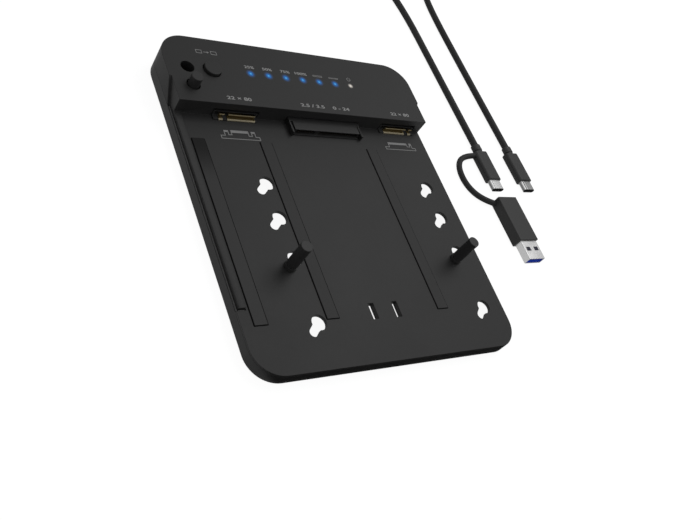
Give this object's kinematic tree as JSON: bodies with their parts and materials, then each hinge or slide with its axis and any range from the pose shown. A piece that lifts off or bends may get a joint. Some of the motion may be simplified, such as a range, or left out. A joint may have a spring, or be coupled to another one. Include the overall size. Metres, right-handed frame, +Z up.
{
  "type": "drive duplicator",
  "caption": "Flat black tray that holds bare storage drives, with a raised bar of sockets, lights and a copy button behind it, and a coiled cable with an adapter on a strap.",
  "frame": {"origin": "on the desk, under the middle of the tray's outline", "axes": "+X to the right seen from the front, +Y from the front edge towards the bar, +Z up"},
  "size_m": [0.223, 0.3048, 0.0227],
  "materials": {
    "case": "fine matt black moulding",
    "post": "fine matt black moulding",
    "strip": "flat black rest strip",
    "foot": "black rubber",
    "board": "solder mask",
    "socket": "black connector plastic",
    "contact": "gold plated",
    "button": "satin black",
    "light": "clear light pipe",
    "chip": "black package",
    "chip_light": "light package",
    "screw": "plain steel",
    "shell": "bright nickel",
    "cable": "matt black jacket",
    "plug": "matt black moulding",
    "tongue_blue": "blue"
  },
  "bodies": {
    "case": {"base_shell": "case", "top_cover": "case", "drive_strip_left": "strip", "drive_strip_middle": "strip", "drive_strip_right": "strip", "foot_front_left": "foot", "foot_front_right": "foot", "foot_rear_left": "foot", "foot_rear_right": "foot", "main_board": "board", "card_socket_left": "socket", "card_socket_right": "socket", "drive_socket": "socket", "data_port_tongue": "socket", "power_inlet_body": "socket", "power_switch_body": "socket", "clone_switch": "socket", "card_contacts_left": "contact", "card_contacts_right": "contact", "drive_contacts": "contact", "power_inlet_pin": "contact", "light_pipe_1": "light", "light_pipe_2": "light", "light_pipe_3": "light", "light_pipe_4": "light", "light_pipe_5": "light", "light_pipe_6": "light", "light_pipe_7": "light", "bridge_chip": "chip", "hub_chip": "chip", "power_coils": "chip", "light_chips": "chip_light", "cover_screws": "screw", "board_screws": "screw", "data_port_shell": "shell", "plug_a_shell": "shell", "plug_b_shell": "shell", "adapter_shell": "shell", "cable_lead_a": "cable", "cable_lead_b": "cable", "cable_coil": "cable", "adapter_strap": "cable", "plug_a_body": "plug", "plug_b_body": "plug", "adapter_body": "plug", "adapter_tongue": "tongue_blue"},
    "button": {"clone_button": "button", "clone_plunger": "socket"},
    "power_knob": {"power_switch_knob": "socket"},
    "post_left_body": {"post_left": "post"},
    "post_right_body": {"post_right": "post"},
    "post_spare_body": {"post_spare": "post"}
  },
  "joints": [
    {"name": "clone_press", "type": "slide", "parent": "case", "child": "button", "axis": [0, 0, -1], "range_m": [0, 0.0008], "stiffness_N_per_m": 800, "springref_m": -0.0003},
    {"name": "power_slide", "type": "slide", "parent": "case", "child": "power_knob", "axis": [1, 0, 0], "range_m": [0, 0.003]},
    {"name": "post_left_slide", "type": "slide", "parent": "case", "child": "post_left_body", "axis": [0.7071, 0.7071, 0], "range_m": [0, 0.0055]},
    {"name": "post_right_slide", "type": "slide", "parent": "case", "child": "post_right_body", "axis": [0.7071, 0.7071, 0], "range_m": [0, 0.0055]},
    {"name": "post_spare_lift", "type": "slide", "parent": "case", "child": "post_spare_body", "axis": [0, 0, 1], "range_m": [0, 0.013]}
  ]
}
